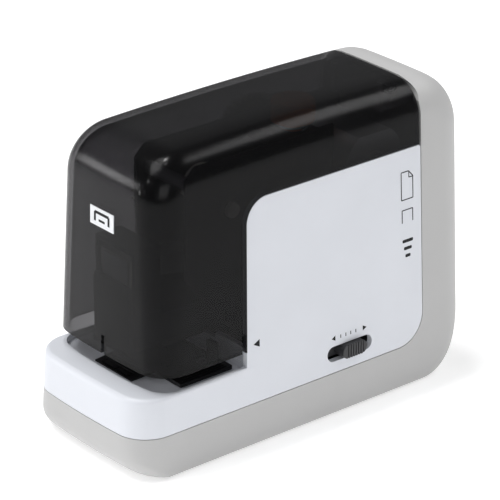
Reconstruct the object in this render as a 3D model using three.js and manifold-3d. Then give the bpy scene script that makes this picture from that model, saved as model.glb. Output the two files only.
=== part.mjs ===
// Desktop electric stapler with a lift-up smoke cover, battery powered.
// Millimetres, +Z up, nose towards -Y, feet on z = 0, origin under the middle of the base.
import * as THREE from 'three';
import { mergeVertices } from 'three/addons/utils/BufferGeometryUtils.js';
import Module from 'manifold-3d';

const wasm = await Module();
wasm.setup();

// ---------------------------------------------------------------- driving dimensions
const GAP = 0.3;                 // clearance left between pieces that touch
const FAR = 90;                  // larger than the object, for cutting blocks
const WALL = 2.2;                // moulded shell thickness
const COVER_WALL = 2.0;

const NOSE_Y = -70;
const REAR_Y = 70;
const BOTTOM_Z = 1;              // underside of the shell, the feet reach z = 0
const BASE_HALF = 29.8;          // half width at the table
const SIDE_DRAFT = 0.051;        // the sides lean in as they rise
const NOSE_DRAFT = 0.042;
const TOP_CREST = { y: 5, z: 105.3, curve: 0.00036 };   // a shallow parabola along the top
const FORM_TOP = 106;            // the drafted block is taller than the top and then cut
const NOSE_BOW = 1.4;            // the front faces bulge by this much
const NOSE_CORNER = 10;
const NOSE_BOTTOM_R = 8;
const REAR_CORNER = 12;
const REAR_BOTTOM_R = 20;
const REAR_TOP_R = 17;
const TOP_EDGE = { x: 16.43, z: 96.3, r: 8.5 };         // centre and radius of the top edges

const BAND_Z = 15;               // seam between grey pan and white housing
const PANEL_TOP = 83.9;
const PANEL_REAR = 48.9;
const PANEL_FRONT_CORNER = { y: -15.6, z: 75.4, r: 8.5 };
const PANEL_REAR_CORNER = { y: 38.4, z: 25.65, r: 10.5 };
const DECK_Z = 28.2;             // lower side of the paper slot
const DECK_UNDER = 24;
const RECESS_Z = 26;             // sunk floor round the clincher table
const SEAM = 0.15;               // half the gap between housing and pan
// wall at the back of the paper slot, notched where the head dips
const THROAT_WALL = { y0: -24.5, y1: -22.5, top: 33.4, notch: 31.5, notchHalf: 10.5 };

const COVER = { bottom: 33.6, half: 28.6, draft: 0.056, front: -61.6, lean: 0.026, rear: 48.4 };
const COVER_TOP_CORNER = 15;     // front top corner seen from the side
const COVER_NOSE_CORNER = 9;     // front corners seen from above
const COVER_HINGE = { y: 45, z: 101, pin: 0.75, hole: 1.05, knuckle: 2 };
const COVER_RELIEF = 5.1;        // swept by the cover's rear edge
const COVER_LUG = { inner: 13.3, width: 2.2 };
const BRACKET = { inner: 10, width: 2.7, low: 92.8, top: 95, rear: 66.5 };
const COVER_SLIT = 1.5;          // relief slits in the lower rim of the cover
const COVER_SLIT_TOP = 40;
const COVER_SLIT_Y = -27.3;
const SEAM_REAR = 49.3;          // front edge of the grey tower

const DOOR = { half: 23.4, y0: 20.5, y1: 52.5, gap: 0.4 };
const DOOR_HINGE = { y: 21.9, z: 2 };
const CELL = { r: 7.15, length: 50.5, z: 8, pitch: 15.4, rows: [29, 44.4] };

const PLATE = { x0: 12, x1: 13.2 };   // side plates of the drive frame
const PIVOT = { y: 14, z: 52, r: 2.5 };       // head and drive arm swing on this shaft
const MODULE = 0.8;
const TEETH = { pinion: 10, large: 36, small: 12, cam: 40 };
const LAYERS = [[-22.6, -20.4], [-19.6, -17.4], [-16.6, -14.4]];   // x range of each gear mesh
const MOTOR = { y: 34, z: 80, r: 12, x0: -11.7, x1: 20 };
const CAM = { y: -20, z: 76, r: 7, throw: 3.8, shaft: 2.5 };
const ROLLER = { y: -20, z: 61, r: 3.2, pin: 1.2 };
const GEAR_A_RISE = 2;           // degrees, from the motor to the first gear

const BLADE = { y0: -55.95, y1: -55.45, half: 6.2, z0: 43, z1: 65.6 };
const CHANNEL = { half: 9.6, wall: 1, low: 34.4, top: 46 };
const RAIL = { half: 5.3, flange: 8.2, low: 35.5, step: 36.1, top: 41 };
const STAPLES = { half: 6.4, wall: 0.6, low: 36.4, top: 42.3, roof: 41.7, y0: -55.1, y1: -7 };
const PUSHER = { half: 6.7, wall: 1, low: 36.4, top: 44.6, roof: 41.4, y0: -6.7, y1: -0.7 };
const SLIDER_Z = { low: 19.3, high: 24 };
const SLIDER_SLOT = { y0: 7.4, y1: 26.5, r: 2.6 };
const KNOB = { y0: 13.2, y1: 23.4, base: 25.5, face: 30.4 };
const BUTTON = { y: 16.5, r: 7.3, low: 93.2, top: 100.6 };

// ---------------------------------------------------------------- materials
const look = (color, roughness, metalness = 0) => ({ color, roughness, metalness });
const WHITE = look(0xdfe2ea, 0.45);
const GREY = look(0xc3c0ba, 0.5);
const SMOKE = look(0x2a2b30, 0.15);
const BLACK = look(0x1c1c1e, 0.5);
const CHARCOAL = look(0x2f3033, 0.6);
const RUBBER = look(0x202020, 0.9);
const STEEL = look(0xb4b6ba, 0.35, 1);
const DARK_STEEL = look(0x77797d, 0.4, 1);
const ORANGE = look(0xe06a18, 0.4);
const GREEN = look(0x1d5a35, 0.6);
const NYLON = look(0xe9e6da, 0.5);
const BRASS = look(0xc8a452, 0.35, 1);
const CELL_SKIN = look(0x2c5f8f, 0.4);

// ---------------------------------------------------------------- shape helpers
function solid(geometry) {
  geometry.deleteAttribute('normal');
  geometry.deleteAttribute('uv');
  const merged = mergeVertices(geometry, 1e-5);
  return new wasm.Manifold(new wasm.Mesh({
    numProp: 3,
    vertProperties: new Float32Array(merged.attributes.position.array),
    triVerts: new Uint32Array(merged.index.array),
  }));
}

function geometryOf(manifold) {
  const mesh = manifold.getMesh();
  const geometry = new THREE.BufferGeometry();
  geometry.setAttribute('position', new THREE.Float32BufferAttribute(mesh.vertProperties, 3));
  geometry.setIndex(new THREE.Uint32BufferAttribute(mesh.triVerts, 1));
  geometry.computeVertexNormals();
  return geometry;
}

function extrude(points, length) {
  const shape = new THREE.Shape(points.map(([a, b]) => new THREE.Vector2(a, b)));
  return new THREE.ExtrudeGeometry(shape, { depth: length, bevelEnabled: false, steps: 1 });
}

// each prism takes its outline in the plane across its axis
function prismZ(points, z0, z1) {
  return solid(extrude(points, z1 - z0).translate(0, 0, z0));
}

function prismX(points, x0, x1) {
  const geometry = extrude(points, x1 - x0);
  geometry.applyMatrix4(new THREE.Matrix4().set(0, 0, 1, x0, 1, 0, 0, 0, 0, 1, 0, 0, 0, 0, 0, 1));
  return solid(geometry);
}

function prismY(points, y0, y1) {
  const geometry = extrude(points.map(([x, z]) => [z, x]), y1 - y0);
  geometry.applyMatrix4(new THREE.Matrix4().set(0, 1, 0, 0, 0, 0, 1, y0, 1, 0, 0, 0, 0, 0, 0, 1));
  return solid(geometry);
}

function box(x0, x1, y0, y1, z0, z1) {
  const geometry = new THREE.BoxGeometry(x1 - x0, y1 - y0, z1 - z0);
  return solid(geometry.translate((x0 + x1) / 2, (y0 + y1) / 2, (z0 + z1) / 2));
}

function arc(a, b, radius, from, to, steps) {
  const points = [];
  for (let i = 0; i <= steps; i += 1) {
    const angle = THREE.MathUtils.degToRad(from + ((to - from) * i) / steps);
    points.push([a + radius * Math.cos(angle), b + radius * Math.sin(angle)]);
  }
  return points;
}

function circle(a, b, radius, sides = 20) {
  return arc(a, b, radius, 0, 360, sides).slice(0, sides);
}

const rodX = (y, z, radius, x0, x1, sides = 20) => prismX(circle(y, z, radius, sides), x0, x1);
const rodY = (x, z, radius, y0, y1, sides = 20) => prismY(circle(x, z, radius, sides), y0, y1);
const rodZ = (x, y, radius, z0, z1, sides = 20) => prismZ(circle(x, y, radius, sides), z0, z1);

function roundedRect(a0, a1, b0, b1, radius, steps = 4) {
  return [
    ...arc(a0 + radius, b0 + radius, radius, 180, 270, steps),
    ...arc(a1 - radius, b0 + radius, radius, 270, 360, steps),
    ...arc(a1 - radius, b1 - radius, radius, 0, 90, steps),
    ...arc(a0 + radius, b1 - radius, radius, 90, 180, steps),
  ];
}

// outline round two circles, for links and levers
function link(a0, b0, r0, a1, b1, r1, steps = 8) {
  const heading = THREE.MathUtils.radToDeg(Math.atan2(b1 - b0, a1 - a0));
  return [
    ...arc(a0, b0, r0, heading + 90, heading + 270, steps),
    ...arc(a1, b1, r1, heading - 90, heading + 90, steps),
  ];
}

function coil(start, end, radius, turns, wire) {
  const axis = new THREE.Vector3().subVectors(end, start);
  const length = axis.length();
  const turn = new THREE.Quaternion().setFromUnitVectors(new THREE.Vector3(0, 0, 1), axis.normalize());
  const points = [];
  const steps = turns * 9;
  for (let i = 0; i <= steps; i += 1) {
    const angle = (i / 9) * Math.PI * 2;
    const rise = wire + ((length - 2 * wire) * i) / steps;
    const point = new THREE.Vector3(radius * Math.cos(angle), radius * Math.sin(angle), rise);
    points.push(point.applyQuaternion(turn).add(start));
  }
  const section = new THREE.Shape(circle(0, 0, wire, 5).map(([a, b]) => new THREE.Vector2(a, b)));
  return new THREE.ExtrudeGeometry(section, {
    steps,
    bevelEnabled: false,
    extrudePath: new THREE.CatmullRomCurve3(points),
  });
}

// closed body between two outlines with the same number of corners
function loft(lower, upper) {
  const count = lower.length;
  const corners = [...lower, ...upper];
  const faces = [];
  for (let i = 0; i < count; i += 1) {
    const next = (i + 1) % count;
    faces.push(i, next, count + next, i, count + next, count + i);
  }
  for (let i = 1; i < count - 1; i += 1) {
    faces.push(0, i + 1, i, count, count + i, count + i + 1);
  }
  const geometry = new THREE.BufferGeometry();
  geometry.setAttribute('position', new THREE.Float32BufferAttribute(corners.flat(), 3));
  geometry.setIndex(faces);
  return solid(geometry);
}

// ---------------------------------------------------------------- outer form
// plan outline with a bowed front and rounded corners, anticlockwise from above
function plan(half, front, rear, frontRadius, rearRadius, z) {
  const sweep = 82;
  const corner = front + NOSE_BOW + frontRadius;
  const left = arc(-half + frontRadius, corner, frontRadius, 180, 180 + sweep, 5);
  const right = arc(half - frontRadius, corner, frontRadius, 360 - sweep, 360, 5);
  const [edgeX, edgeY] = left[left.length - 1];
  const bow = [-0.66, -0.33, 0, 0.33, 0.66].map((part) => [
    -edgeX * part,
    front + (edgeY - front) * part * part,
  ]);
  const rearRight = arc(half - rearRadius, rear - rearRadius, rearRadius, 0, 90, 5);
  const rearLeft = arc(-half + rearRadius, rear - rearRadius, rearRadius, 90, 180, 5);
  return [...left, ...bow, ...right, ...rearRight, ...rearLeft].map(([x, y]) => [x, y, z]);
}

const topLine = (y) => TOP_CREST.z - TOP_CREST.curve * (y - TOP_CREST.y) ** 2;

function topPoints(from, to, inset) {
  const points = [];
  for (let i = 0; i <= 5; i += 1) {
    const y = from + ((to - from) * i) / 5;
    points.push([y, topLine(y) - inset]);
  }
  return points;
}

// front view limit with the rounded top edges
function topSection(inset) {
  const { x, z, r } = TOP_EDGE;
  return prismY([
    [-FAR, -5],
    [FAR, -5],
    [FAR, 0],
    ...arc(x, z, r - inset, 0, 84, 5),
    [0, TOP_CREST.z + 0.2 - inset],
    ...arc(-x, z, r - inset, 96, 180, 5),
    [-FAR, 0],
  ], -FAR, FAR);
}

// the whole body as one drafted block, inset evenly for its inside
function bodyForm(inset) {
  const noseCorner = NOSE_CORNER - inset;
  const rearCornerRadius = REAR_CORNER - inset;
  const rear = REAR_Y - inset;
  const lower = plan(BASE_HALF - inset, NOSE_Y + inset, rear, noseCorner, rearCornerRadius, 0);
  const upper = plan(
    BASE_HALF - SIDE_DRAFT * FORM_TOP - inset,
    NOSE_Y + NOSE_DRAFT * FORM_TOP + inset,
    rear,
    noseCorner,
    rearCornerRadius,
    FORM_TOP,
  );
  const noseTop = -40;
  const rearTopY = REAR_Y - REAR_TOP_R;
  const side = prismX([
    ...arc(NOSE_Y + NOSE_BOTTOM_R, BOTTOM_Z + NOSE_BOTTOM_R, NOSE_BOTTOM_R - inset, 180, 270, 5),
    ...arc(REAR_Y - REAR_BOTTOM_R, BOTTOM_Z + REAR_BOTTOM_R, REAR_BOTTOM_R - inset, 270, 360, 8),
    ...arc(rearTopY, topLine(rearTopY) - REAR_TOP_R, REAR_TOP_R - inset, 0, 84, 7),
    ...topPoints(rearTopY - 3, noseTop, inset),
    [NOSE_Y + inset, topLine(noseTop) - inset],
  ], -FAR, FAR);
  return loft(lower, upper).intersect(side).intersect(topSection(inset));
}

// the cover as a drafted block that runs on past its rear edge
function coverForm(inset) {
  const rise = FORM_TOP - COVER.bottom;
  const corner = COVER_NOSE_CORNER - inset;
  const start = COVER.bottom - 4;
  const lower = plan(COVER.half - inset, COVER.front + inset, FAR, corner, COVER_NOSE_CORNER, start);
  const upper = plan(
    COVER.half - COVER.draft * rise - inset,
    COVER.front + COVER.lean * rise + inset,
    FAR,
    corner,
    COVER_NOSE_CORNER,
    FORM_TOP,
  );
  const cornerY = COVER.front + 2 + COVER_TOP_CORNER;
  const cornerZ = topLine(cornerY) - COVER_TOP_CORNER;
  const side = prismX([
    [-FAR, 0],
    [FAR, 0],
    [FAR, 60],
    ...topPoints(REAR_Y - 5, cornerY + 3, inset),
    ...arc(cornerY, cornerZ, COVER_TOP_CORNER - inset, 87, 180, 7),
    [-FAR, 70],
  ], -FAR, FAR);
  return loft(lower, upper).intersect(side).intersect(topSection(inset));
}

// the panels end in a rounded corner at the rear bottom, the grey shell runs round it
const rearCorner = (grow, from, to) => arc(
  PANEL_REAR_CORNER.y, PANEL_REAR_CORNER.z, PANEL_REAR_CORNER.r + grow, from, to, 5,
);
const frontCorner = (grow, from, to) => arc(
  PANEL_FRONT_CORNER.y, PANEL_FRONT_CORNER.z, PANEL_FRONT_CORNER.r + grow, from, to, 5,
);

const whiteRegion = () => prismX([
  [-FAR, BAND_Z + SEAM],
  ...rearCorner(0, 270, 360),
  [PANEL_REAR, PANEL_TOP - 0.4],
  [PANEL_REAR - 0.4, PANEL_TOP],
  ...frontCorner(0, 90, 180),
  [-25.6, 36],
  [-26, DECK_Z],
  [-FAR, DECK_Z],
], -FAR, FAR);

const greyRegion = () => prismX([
  [-FAR, -5],
  [FAR, -5],
  [FAR, 110],
  [SEAM_REAR, 110],
  [SEAM_REAR, PANEL_TOP],
  ...rearCorner(GAP, 360, 270),
  [-FAR, BAND_Z - SEAM],
], -FAR, FAR);

const coverRegion = () => prismX([
  [-FAR, COVER.bottom],
  [-26.1, COVER.bottom],
  [-26, 36],
  ...frontCorner(0.5, 180, 90),
  [COVER.rear, PANEL_TOP + 0.5],
  [COVER.rear, 110],
  [-FAR, 110],
], -FAR, FAR);

// ---------------------------------------------------------------- shells
const FRONT_FOOT = { x: 19, y: -57.2, r: 3.8 };
const REAR_FOOT = { x0: 24.6, x1: 27.6, y0: 26, y1: 46 };
const FOOT_HEIGHT = 1.6;
const FOOT_POCKET = 1.9;
const SCREWS = [[-21, -50], [21, -50], [-21, 4], [21, 4]];
const BOARD_POSTS = [[-13, -57], [13, -57], [-13, -30], [13, -30]];
const BOARD_Z = 8;
const JACK = { z: 30, r: 4.5 };
const FLOOR = BOTTOM_Z + WALL;

function greyShell() {
  let shell = bodyForm(0).intersect(greyRegion()).subtract(bodyForm(WALL));
  // room for the cover's rear edge as it swings down
  shell = shell.subtract(rodX(COVER_HINGE.y, COVER_HINGE.z, COVER_RELIEF, -24, 24, 32));
  for (const [x, y] of SCREWS) {
    shell = shell.add(rodZ(x, y, 4.6, FLOOR - 0.4, 9)).subtract(rodZ(x, y, 3.3, -1, 5));
    shell = shell.subtract(rodZ(x, y, 1.8, 4, 10));
  }
  for (const [x, y] of BOARD_POSTS) {
    shell = shell.add(rodZ(x, y, 2, FLOOR - 0.4, BOARD_Z - GAP, 12));
  }
  for (const side of [-1, 1]) {
    shell = shell.subtract(frontFoot(side, GAP, -1, FOOT_POCKET));
    shell = shell.subtract(rearFoot(side, GAP, -1, FOOT_POCKET));
    shell = shell.add(hingeBracket(side));
    shell = shell.subtract(hingeHole(side * (BRACKET.inner + BRACKET.width / 2), BRACKET.width));
  }
  const opening = box(-DOOR.half, DOOR.half, DOOR.y0, DOOR.y1, -1, FLOOR + 1);
  const jackHole = rodY(0, JACK.z, JACK.r + GAP, REAR_Y - 5, REAR_Y + 2);
  return shell.subtract(opening).subtract(jackHole);
}

// arm from the rear wall that carries the cover's hinge pin
function hingeBracket(side) {
  const { y, z, knuckle } = COVER_HINGE;
  const outline = [
    ...arc(y, z, knuckle, 0, 180, 6),
    [y - knuckle, BRACKET.low],
    [BRACKET.rear, BRACKET.low],
    [BRACKET.rear, BRACKET.top],
    [y + knuckle, BRACKET.top],
  ];
  const inner = side > 0 ? BRACKET.inner : -BRACKET.inner - BRACKET.width;
  return prismX(outline, inner, inner + BRACKET.width);
}

function hingeHole(middle, width) {
  const reach = width / 2 + 1;
  return rodX(COVER_HINGE.y, COVER_HINGE.z, COVER_HINGE.hole, middle - reach, middle + reach, 12);
}

function frontFoot(side, grow, z0, z1) {
  return rodZ(side * FRONT_FOOT.x, FRONT_FOOT.y, FRONT_FOOT.r + grow, z0, z1, 24);
}

function rearFoot(side, grow, z0, z1) {
  const { x0, x1, y0, y1 } = REAR_FOOT;
  const [left, right] = side > 0 ? [x0, x1] : [-x1, -x0];
  const outline = roundedRect(left - grow, right + grow, y0 - grow, y1 + grow, 1.5 + grow);
  return prismZ(outline, z0, z1);
}

function recess() {
  const bowed = [
    [-14, -60.6],
    [0, -61],
    [14, -60.6],
  ];
  return prismZ([
    ...arc(-19.1, -51.8, 8, 180, 262, 6),
    ...bowed,
    ...arc(19.1, -51.8, 8, 278, 360, 6),
    ...arc(24.1, -28, 3, 0, 90, 4),
    ...arc(-24.1, -28, 3, 90, 180, 4),
  ], RECESS_Z, DECK_Z + 1);
}

const FINGER_SLIT = [11.5, 16.5, -35, -24.7];
const LEVER_SLIT = [-16.4, -13.6, -33, -24.7];

function whiteHousing() {
  const deck = box(-FAR, FAR, -FAR, THROAT_WALL.y1, DECK_UNDER, DECK_Z);
  const wall = box(-FAR, FAR, THROAT_WALL.y0, THROAT_WALL.y1, DECK_UNDER, THROAT_WALL.top)
    .subtract(box(-THROAT_WALL.notchHalf, THROAT_WALL.notchHalf, -30, -20, THROAT_WALL.notch, FAR));
  const cavity = bodyForm(WALL).subtract(deck).subtract(wall);
  let housing = bodyForm(0).intersect(whiteRegion()).subtract(cavity);
  for (const [x, y] of SCREWS) {
    const front = y < 0;
    housing = housing.add(rodZ(x, y, 3.2, 9.3, front ? DECK_UNDER + 0.4 : 18));
    if (!front) {
      const [web0, web1] = [x, x * 1.29].sort((a, b) => a - b);
      housing = housing.add(box(web0, web1, 3, 5, BAND_Z + GAP, 18));
    }
    housing = housing.subtract(rodZ(x, y, 1.8, 8, front ? 23 : 17, 12));
  }
  const { y0, y1, r } = SLIDER_SLOT;
  const slot = prismX(roundedRect(y0, y1, SLIDER_Z.low - GAP, SLIDER_Z.high + GAP, r), 20, 40);
  const [a0, a1, b0, b1] = FINGER_SLIT;
  const [c0, c1, d0, d1] = LEVER_SLIT;
  return housing
    .subtract(recess())
    .subtract(slot)
    .subtract(box(a0, a1, b0, b1, DECK_UNDER - 1, DECK_Z + 1))
    .subtract(box(c0, c1, d0, d1, DECK_UNDER - 1, DECK_Z + 1));
}

function smokeCover() {
  const { y, z, knuckle } = COVER_HINGE;
  const { inner, width } = COVER_LUG;
  const halfSlit = COVER_SLIT / 2;
  let cover = coverForm(0).intersect(coverRegion()).subtract(coverForm(COVER_WALL));
  for (const side of [-1, 1]) {
    const x0 = side > 0 ? inner : -inner - width;
    const lug = rodX(y, z, knuckle, x0, x0 + width)
      .add(box(x0, x0 + width, y - 1.8, y + 1.8, z, z + 2.2));
    cover = cover.add(lug).subtract(hingeHole(x0 + width / 2, width));
    // pocket over the bracket's knuckle
    const pocket = side > 0 ? BRACKET.inner - 0.4 : -BRACKET.inner - BRACKET.width - 0.4;
    cover = cover.subtract(
      box(pocket, pocket + BRACKET.width + 0.8, y - 2.6, y + 5, z - 2, z + knuckle + GAP),
    );
    const [slit0, slit1] = [side * 22, side * 32].sort((a, b) => a - b);
    cover = cover.subtract(
      box(slit0, slit1, COVER_SLIT_Y - halfSlit, COVER_SLIT_Y + halfSlit, 30, COVER_SLIT_TOP),
    );
  }
  return cover.subtract(box(-halfSlit, halfSlit, -66, -56, 30, COVER_SLIT_TOP));
}

// ---------------------------------------------------------------- gears
// plain trapezoid teeth, the first one centred on the phase angle in degrees
function gearOutline(teeth, phase) {
  const pitch = 360 / teeth;
  const radius = (MODULE * teeth) / 2;
  const root = radius - 1.2 * MODULE;
  const tip = radius + 0.8 * MODULE;
  const points = [];
  for (let i = 0; i < teeth; i += 1) {
    const middle = phase + i * pitch;
    const corners = [[root, -0.29], [tip, -0.11], [tip, 0.11], [root, 0.29]];
    for (const [r, part] of corners) {
      const angle = THREE.MathUtils.degToRad(middle + part * pitch);
      points.push([r * Math.cos(angle), r * Math.sin(angle)]);
    }
  }
  return points;
}

function gear(centre, teeth, phase, layer) {
  const points = gearOutline(teeth, phase).map(([a, b]) => [a + centre.y, b + centre.z]);
  return prismX(points, layer[0], layer[1]);
}

const bearing = (from, to) => THREE.MathUtils.radToDeg(Math.atan2(to.z - from.z, to.y - from.y));
const spacing = (one, other) => (MODULE * (one + other)) / 2;

// the point at these distances from two others, on the left going from one to the other
function thirdCorner(one, other, fromOne, fromOther) {
  const dy = other.y - one.y;
  const dz = other.z - one.z;
  const base = Math.hypot(dy, dz);
  const along = (fromOne ** 2 - fromOther ** 2 + base ** 2) / (2 * base);
  const across = Math.sqrt(fromOne ** 2 - along ** 2);
  return {
    y: one.y + (dy * along - dz * across) / base,
    z: one.z + (dz * along + dy * across) / base,
  };
}

// gear A sits just above the motor's height, gear B closes the triangle between A and the cam
const rise = THREE.MathUtils.degToRad(GEAR_A_RISE);
const reachA = spacing(TEETH.pinion, TEETH.large);
const GEAR_A = { y: MOTOR.y - reachA * Math.cos(rise), z: MOTOR.z + reachA * Math.sin(rise) };
const GEAR_B = thirdCorner(
  GEAR_A, CAM, spacing(TEETH.small, TEETH.large), spacing(TEETH.small, TEETH.cam),
);

// a tooth of one gear points at its neighbour, which has a gap there
const toothTowards = (from, to) => bearing(from, to);
const gapTowards = (from, to, teeth) => bearing(from, to) + 180 / teeth;

// ---------------------------------------------------------------- drive frame
function framePlate(side) {
  const left = side < 0;
  const x0 = left ? -PLATE.x1 : PLATE.x0;
  const x1 = left ? -PLATE.x0 : PLATE.x1;
  const outline = [
    [-20, FLOOR + 0.4],
    [19.6, FLOOR + 0.4],
    ...(left
      ? [[19.6, 62.5], [47, 62.5], [47, 90], [45, 92.3], [42.5, 92.3], [42.5, 94]]
      : [[19.6, 70], [22.5, 84], [22.5, 94]]),
    [-34, 94],
    [-38, 90],
    [-38, 56],
    [-20, 34.5],
  ];
  let plate = prismX(outline, x0, x1);
  const bore = (at, radius) => rodX(at.y, at.z, radius, x0 - 1, x1 + 1, 16);
  plate = plate.subtract(bore(PIVOT, PIVOT.r + GAP));
  plate = plate.subtract(bore(CAM, CAM.shaft + GAP));
  if (left) {
    plate = plate.subtract(bore(MOTOR, 3));
    plate = plate.subtract(bore(GEAR_A, 1.8));
    plate = plate.subtract(bore(GEAR_B, 1.8));
  }
  return plate;
}

function camGear() {
  const teeth = gear(CAM, TEETH.cam, gapTowards(CAM, GEAR_B, TEETH.cam), LAYERS[2]);
  const shaft = rodX(CAM.y, CAM.z, CAM.shaft, LAYERS[2][0] - 1.5, 14.5);
  const disc = rodX(CAM.y, CAM.z + CAM.throw, CAM.r, -3, 3, 28);
  return teeth.add(shaft).add(disc);
}

// large and small wheel in one piece: the large one meshes with the gear before, the small with the next
function gearPair(at, previous, next, upper, lower) {
  const large = gear(at, TEETH.large, gapTowards(at, previous, TEETH.large), upper);
  const small = gear(at, TEETH.small, toothTowards(at, next), [upper[1] - 0.2, lower[1]]);
  return large.add(small).subtract(rodX(at.y, at.z, 1.8, upper[0] - 1, lower[1] + 1, 14));
}

function motorPinion() {
  const teeth = gear(MOTOR, TEETH.pinion, toothTowards(MOTOR, GEAR_A), LAYERS[0]);
  return teeth.add(rodX(MOTOR.y, MOTOR.z, 1.2, LAYERS[0][0], MOTOR.x0 - GAP, 12));
}

function motorCan() {
  const can = rodX(MOTOR.y, MOTOR.z, MOTOR.r, MOTOR.x0, MOTOR.x1, 32);
  const boss = rodX(MOTOR.y, MOTOR.z, 4, MOTOR.x1 - 1, MOTOR.x1 + 2);
  return can.add(boss).intersect(box(-FAR, FAR, MOTOR.y - 11.6, MOTOR.y + 11.6, 0, FAR));
}

// lever from the pivot to the driver, forked round the roller that runs under the cam
function driveArm() {
  const tip = { y: -50.6, z: 61, r: 3 };
  const half = 4;
  const fork = 2.5;
  const beam = prismX(link(tip.y, tip.z, tip.r, PIVOT.y, PIVOT.z, 5), -half, half);
  const lugs = prismX(link(ROLLER.y, ROLLER.z - 3, 4.6, ROLLER.y, ROLLER.z, 2.6), -half, half);
  return beam
    .add(lugs)
    .subtract(box(-fork, fork, ROLLER.y - 4, ROLLER.y + 4, ROLLER.z - 4, 70))
    .subtract(rodX(ROLLER.y, ROLLER.z, ROLLER.pin + GAP, -5, 5, 12))
    .subtract(rodX(PIVOT.y, PIVOT.z, PIVOT.r + GAP, -5, 5));
}

function armRoller() {
  const pin = rodX(ROLLER.y, ROLLER.z, ROLLER.pin, -3.7, 3.7, 12);
  return rodX(ROLLER.y, ROLLER.z, ROLLER.r, -2.2, 2.2).add(pin);
}

// ---------------------------------------------------------------- stapling head
// the outline's right half, given from the bottom up, mirrored to make the whole
function mirrored(right) {
  const left = right.map(([x, z]) => [-x, z]).reverse();
  return [...right, ...left];
}

// steel channel, open below between two lips, with ears on the pivot shaft
function magazineChannel() {
  const { half, wall, low, top } = CHANNEL;
  const inner = half - wall;
  const lip = 6.8;
  const section = mirrored([
    [inner, top - wall], [inner, low + 0.8], [lip, low + 0.8], [lip, low], [half, low], [half, top],
  ]);
  let channel = prismY(section, -45.7, 18);
  const ear = [[8, top - 2], [19, top - 2], ...arc(PIVOT.y, PIVOT.z, 5.5, 0, 180, 8)];
  for (const x of [-half, inner]) {
    channel = channel.add(prismX(ear, x, x + wall));
  }
  return channel
    .subtract(box(-inner, inner, 17.6, 21, low + 0.8, top - wall))
    .subtract(rodX(PIVOT.y, PIVOT.z, PIVOT.r + GAP, -12, 12));
}

function driverHousing() {
  const section = mirrored([[8.6, 68.5], [8.6, 36], [10.1, 36], [10.1, 70]]);
  return prismY(section, -56, -46);
}

// bridge over the rail with a leg on each side: a staple strip or the pusher
function saddle({ half, wall, low, top, roof, y0, y1 }) {
  const inner = half - wall;
  return prismY(mirrored([[inner, roof], [inner, low], [half, low], [half, top]]), y0, y1);
}

function stapleRail() {
  const { half, flange, low, step, top } = RAIL;
  const section = mirrored([[flange, low], [flange, step], [half, step], [half, top]]);
  return prismY(section, -55.1, 12.5).add(box(-flange, flange, 12.2, 13.4, low, 44.7));
}

const magazineFront = () => prismX([
  [-57.9, 35.5],
  [-56.3, 35.5],
  [-56.3, 58],
  [-57.4, 58],
  [-57.9, 57],
], -9, 9);

function driverCarrier() {
  const slot = box(-4.4, 4.4, -54.5, -48, 57.7, 64.3);
  return box(-8.2, 8.2, -55.15, -49, 56, 66).subtract(slot);
}

// ---------------------------------------------------------------- paper path
// black plate in the sunk floor, its tongue slopes down to the clinching wings
function clincherTable() {
  const low = RECESS_Z + 0.2;
  const top = 27.5;
  const slope = [[-57.7, low], [-47, low], [-47, top], [-48.5, top], [-57.7, low + 0.35]];
  const tongue = prismX(slope, -9.5, 9.5);
  const wide = prismZ(roundedRect(-23, 23, -48.5, -27.5, 0.5), low, top);
  const [a0, a1] = FINGER_SLIT;
  const [c0, c1] = LEVER_SLIT;
  return tongue
    .add(wide)
    .subtract(box(-6.9, 6.9, -57, -54.4, 20, 30))
    .subtract(box(a0, a1, -35, -20, 20, 30))
    .subtract(box(c0, c1, -33, -20, 20, 30));
}

const clinchWing = (side) => box(
  Math.min(side * 0.3, side * 6.6), Math.max(side * 0.3, side * 6.6), -56.8, -54.6, 26.25, 26.85,
);

function depthSlider() {
  const { low, high } = SLIDER_Z;
  const { y0, y1, base, face } = KNOB;
  const step = 0.7;
  const foot = prismX(roundedRect(y0, y1, low, high, 2.2), base, face - 0.8);
  const crown = roundedRect(y0 + step, y1 - step, low + step, high - step, 1.6);
  let knob = foot.add(prismX(crown, face - 1.4, face));
  for (const y of [15.8, 18.3, 20.8]) {
    knob = knob.subtract(box(face - 0.7, 32, y - 0.4, y + 0.4, low - 1, high + 1));
  }
  const bar = box(24.3, 25.9, -31.5, 24, 19.5, 23.6);
  const bridge = box(12, 25, -29.4, -27.6, 19.5, 23.5);
  const finger = box(12, 16, -29.4, -27.6, 19.5, 33);
  return knob.add(bar).add(bridge).add(finger);
}

// paper pushes this lever back and down onto the switch
function sensorLever() {
  const outline = [[-31, 18], [-29, 18], [-29.2, 31.4], [-30, 32], [-30.8, 31.4]];
  const blade = prismX(outline, -15.6, -14.4);
  return blade.add(rodX(-30, 18, 1.9, -17.2, -12.8, 12));
}

// ---------------------------------------------------------------- battery bay
function batteryDoor() {
  const { y, z } = DOOR_HINGE;
  const half = DOOR.half - DOOR.gap;
  const rearEdge = DOOR.y1 - DOOR.gap;
  const outline = [...arc(y, z, 1, 90, 270, 6), [rearEdge, z - 1], [rearEdge, z + 1]];
  const hook = prismX([[49.8, 2.8], [51.3, 2.8], [51.3, 5.6], [51, 6], [49.8, 6]], -6, 6);
  const grip = prismZ(roundedRect(-7, 7, 45.5, 48.5, 1.4), 0, 1.6);
  return prismX(outline, -half, half).add(hook).subtract(grip);
}

function batteryHolder() {
  const outer = box(-24.1, 24.1, 20.4, 53.1, FLOOR + GAP, 61);
  return outer.subtract(box(-23.1, 23.1, 21.4, 52.1, 0, 60));
}

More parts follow.
